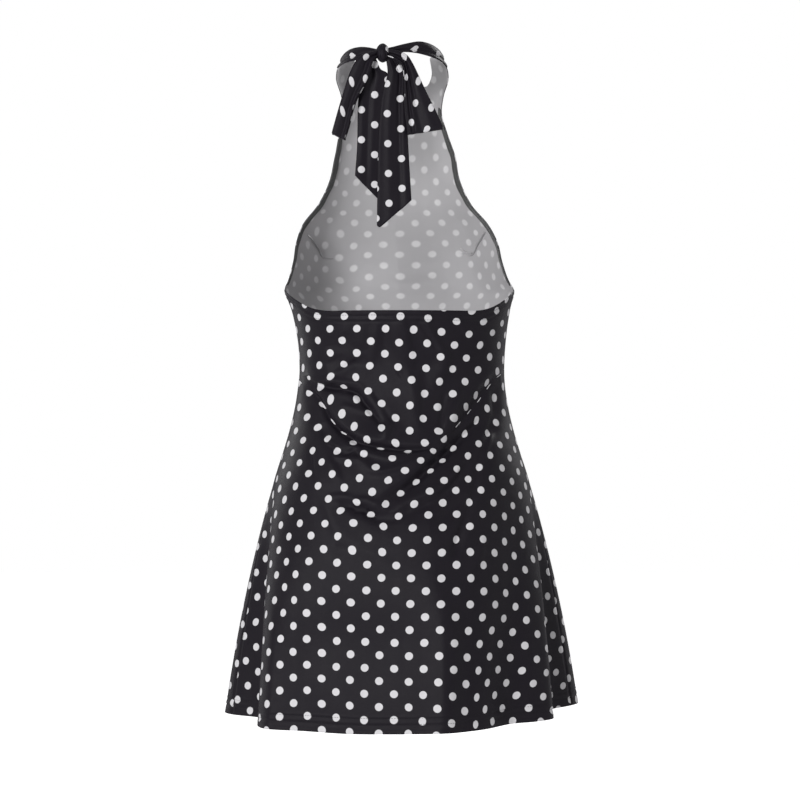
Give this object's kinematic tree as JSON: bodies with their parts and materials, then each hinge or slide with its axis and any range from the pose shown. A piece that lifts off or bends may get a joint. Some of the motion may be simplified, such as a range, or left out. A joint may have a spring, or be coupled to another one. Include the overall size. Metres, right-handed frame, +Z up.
{
  "type": "halter mini dress",
  "caption": "Open-backed halter mini dress of dotted knit, fitted to the waist with an A-line skirt, tied in a bow at the nape and worn hanging from the neck",
  "frame": {"origin": "centre of the neck loop, where the wearer's neck holds the dress", "axes": "+Z up, wearer faces -Y, wearer's left is +X"},
  "size_m": [0.4597, 0.3578, 0.864],
  "materials": {
    "black_dotted_knit": "smooth black stretch knit with a soft sheen, printed with white dots",
    "armhole_trim": "dull charcoal knit binding"
  },
  "bodies": {
    "root": {"front_panel": "black_dotted_knit", "back_panel": "black_dotted_knit", "armhole_binding_left": "armhole_trim", "armhole_binding_right": "armhole_trim", "neck_tie_left": "black_dotted_knit", "neck_tie_right": "black_dotted_knit", "bow_knot": "black_dotted_knit", "bow_loop_left": "black_dotted_knit", "bow_loop_right": "black_dotted_knit", "bow_tail_left": "black_dotted_knit", "bow_tail_right": "black_dotted_knit"}
  },
  "joints": []
}
